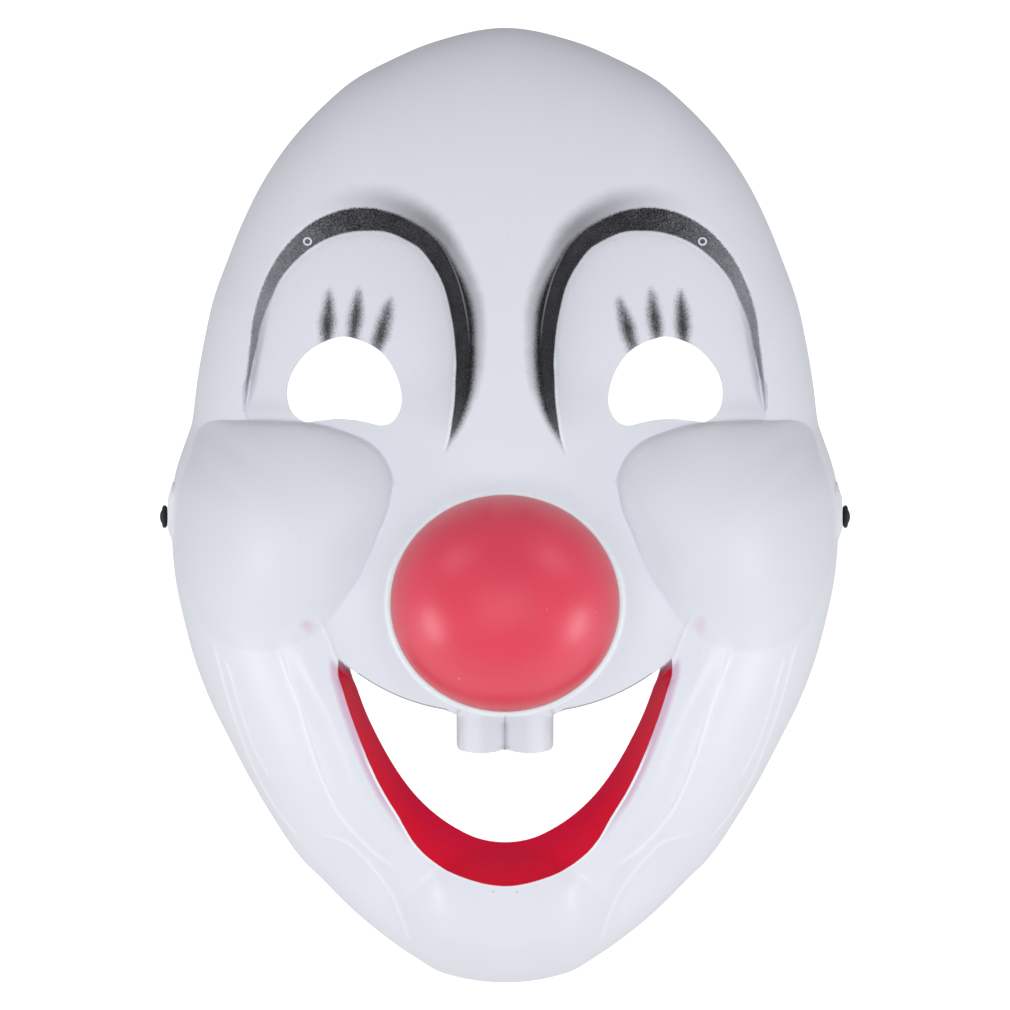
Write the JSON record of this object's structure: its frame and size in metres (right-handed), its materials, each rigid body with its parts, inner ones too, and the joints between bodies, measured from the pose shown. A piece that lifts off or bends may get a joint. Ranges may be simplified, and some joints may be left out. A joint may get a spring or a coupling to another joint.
{
  "type": "clown mask",
  "caption": "Thin moulded plastic face mask with raised cheeks, eyelid pads, open grin, round hollow nose and an elastic tied through its sides.",
  "frame": {"origin": "middle of the mask's box, at the level of the rim that it lies on", "axes": "+Z out of the face, +Y towards the forehead, +X towards the wearer's left"},
  "size_m": [0.1734, 0.24, 0.087],
  "materials": {
    "white_moulding": "glossy white moulded sheet with sprayed paint",
    "red_ball": "satin red",
    "black_elastic": "braided round elastic"
  },
  "bodies": {
    "root": {"mask_shell": "white_moulding", "red_nose": "red_ball", "elastic_cord": "black_elastic", "knot_left": "black_elastic", "knot_right": "black_elastic"}
  },
  "joints": []
}
